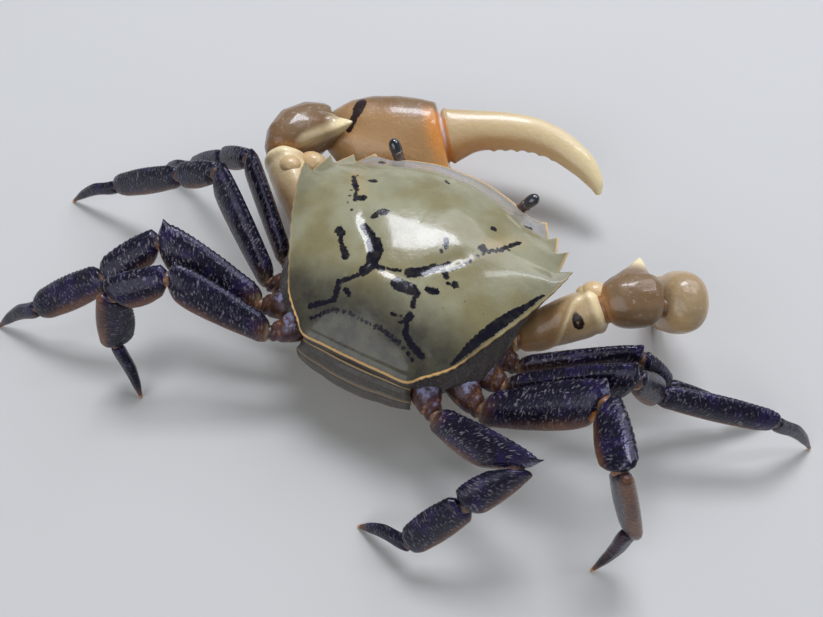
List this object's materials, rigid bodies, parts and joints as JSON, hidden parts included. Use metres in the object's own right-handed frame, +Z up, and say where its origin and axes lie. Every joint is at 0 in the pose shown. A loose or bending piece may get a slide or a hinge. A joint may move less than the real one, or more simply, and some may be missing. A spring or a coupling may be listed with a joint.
{
  "type": "freshwater crab",
  "caption": "Life-size freshwater rice-field crab standing on bent legs, one great claw swung across its front and the other folded down beside the head.",
  "frame": {"origin": "centre of the bounding box in plan, on the floor that the legs and claws stand on", "axes": "+X to the crab's own left, the way its legs spread and the longest way across; -Y the way its face looks; +Z up through the back"},
  "size_m": [0.1234, 0.0696, 0.0237],
  "materials": {
    "shell": "glossy olive-khaki shell with a golden rim and blue-black marks",
    "belly": "satin grey-tan shell of the side walls, breast, tail and mouth plates",
    "claw": "glossy orange-tan claw shell with brown patches and paler fingers",
    "leg": "satin purple-black leg shell with short pale flecks and amber undersides",
    "eye": "wet glossy black cornea"
  },
  "bodies": {
    "root": {"carapace": "shell", "thorax": "belly", "tail_plate": "belly", "mouth_plate_left": "belly", "mouth_plate_right": "belly", "eyestalk_left": "claw", "eyestalk_right": "claw", "eye_left": "eye", "eye_right": "eye", "claw_left_ischium": "claw", "claw_left_merus": "claw", "claw_left_carpus": "claw", "claw_left_palm": "claw", "claw_left_finger": "claw", "claw_right_ischium": "claw", "claw_right_merus": "claw", "claw_right_carpus": "claw", "claw_right_palm": "claw", "claw_right_finger": "claw", "leg1_left_base": "leg", "leg1_left_merus": "leg", "leg1_left_carpus": "leg", "leg1_left_propodus": "leg", "leg1_left_dactyl": "leg", "leg2_left_base": "leg", "leg2_left_merus": "leg", "leg2_left_carpus": "leg", "leg2_left_propodus": "leg", "leg2_left_dactyl": "leg", "leg3_left_base": "leg", "leg3_left_merus": "leg", "leg3_left_carpus": "leg", "leg3_left_propodus": "leg", "leg3_left_dactyl": "leg", "leg4_left_base": "leg", "leg4_left_merus": "leg", "leg4_left_carpus": "leg", "leg4_left_propodus": "leg", "leg4_left_dactyl": "leg", "leg1_right_base": "leg", "leg1_right_merus": "leg", "leg1_right_carpus": "leg", "leg1_right_propodus": "leg", "leg1_right_dactyl": "leg", "leg2_right_base": "leg", "leg2_right_merus": "leg", "leg2_right_carpus": "leg", "leg2_right_propodus": "leg", "leg2_right_dactyl": "leg", "leg3_right_base": "leg", "leg3_right_merus": "leg", "leg3_right_carpus": "leg", "leg3_right_propodus": "leg", "leg3_right_dactyl": "leg", "leg4_right_base": "leg", "leg4_right_merus": "leg", "leg4_right_carpus": "leg", "leg4_right_propodus": "leg", "leg4_right_dactyl": "leg"}
  },
  "joints": []
}
